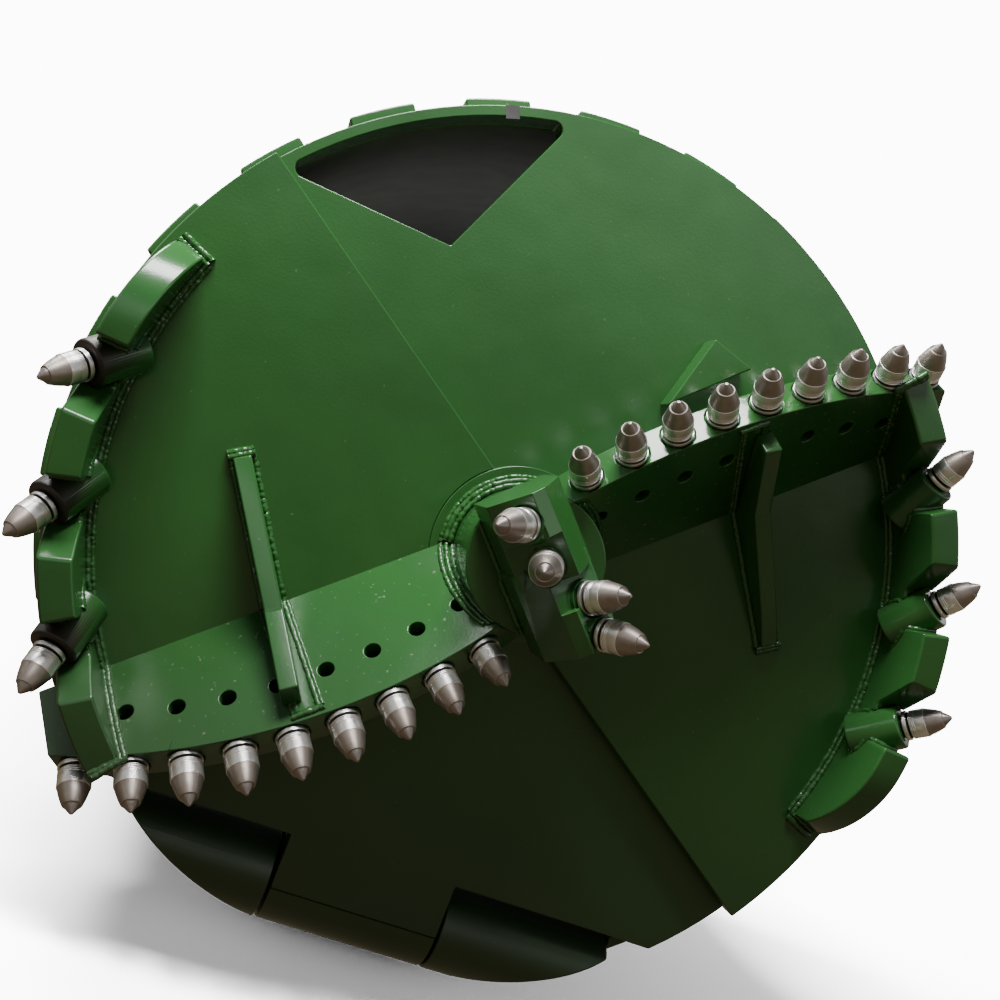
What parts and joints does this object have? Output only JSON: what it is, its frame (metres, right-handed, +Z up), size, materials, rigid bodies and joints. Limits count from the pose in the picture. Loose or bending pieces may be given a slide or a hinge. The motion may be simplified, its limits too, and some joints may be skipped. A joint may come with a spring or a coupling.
{
  "type": "rock drilling bucket",
  "caption": "Cylindrical rock drilling bucket with a hinged bottom, a rotating toothed cutting bottom, pilot bit, side cutters and a square kelly box.",
  "frame": {"origin": "bottom centre of the whole part's box, on the ground under the lying bucket", "axes": "+Y along the bucket's axis from the cutting end to the kelly box, +Z up, +X to the right seen from the cutting end"},
  "size_m": [1.5826, 2.0226, 1.5714],
  "materials": {
    "green_enamel": "gloss",
    "tooth_steel": "turned",
    "pin_steel": "satin"
  },
  "bodies": {
    "shell": {"shell_tube": "green_enamel", "top_plate": "green_enamel", "kelly_box": "green_enamel", "kelly_gussets": "green_enamel", "wear_plates_front": "green_enamel", "wear_plates_back": "green_enamel", "hinge_lug_left": "green_enamel", "hinge_lug_right": "green_enamel", "hinge_pin": "pin_steel", "latch_bracket": "green_enamel", "latch_pin": "pin_steel", "rod_guide": "green_enamel"},
    "bottom": {"bottom_plate": "green_enamel", "pivot_boss": "green_enamel", "stop_block": "green_enamel", "latch_tongue": "pin_steel"},
    "cutter": {"hub_flange": "green_enamel", "hub": "green_enamel", "pivot_shaft": "pin_steel", "pivot_collar": "green_enamel", "pilot_body": "green_enamel", "pilot_teeth": "tooth_steel", "sector_plate_a": "green_enamel", "tooth_arm_a": "green_enamel", "arm_teeth_a": "tooth_steel", "arm_rib_a": "green_enamel", "side_wall_a": "green_enamel", "side_holders_a": "green_enamel", "side_teeth_a": "tooth_steel", "sector_plate_b": "green_enamel", "tooth_arm_b": "green_enamel", "arm_teeth_b": "tooth_steel", "arm_rib_b": "green_enamel", "side_wall_b": "green_enamel", "side_holders_b": "green_enamel", "side_teeth_b": "tooth_steel"},
    "latch": {"latch_dog": "pin_steel"},
    "rod": {"release_rod": "pin_steel"}
  },
  "joints": [
    {"name": "bottom_swing", "type": "hinge", "parent": "shell", "child": "bottom", "pos_m": [0, -0.52871, 0.11769], "axis": [1, 0, 0], "range_deg": [0, 90]},
    {"name": "bottom_turn", "type": "hinge", "parent": "bottom", "child": "cutter", "pos_m": [0, -0.60371, 0.78569], "axis": [0, 1, 0], "range_deg": [0, 72]},
    {"name": "rod_slide", "type": "slide", "parent": "shell", "child": "rod", "axis": [0, 1, 0], "range_m": [0, 0.01044]},
    {"name": "latch_swing", "type": "hinge", "parent": "shell", "child": "latch", "pos_m": [0.10766, -0.34371, 1.39627], "axis": [-0.9848, 0, 0.1736], "range_deg": [0, 8]}
  ],
  "couplings": [
    {"joint": "latch_swing", "follows": "rod_slide", "rad_per_m": 13.367}
  ]
}
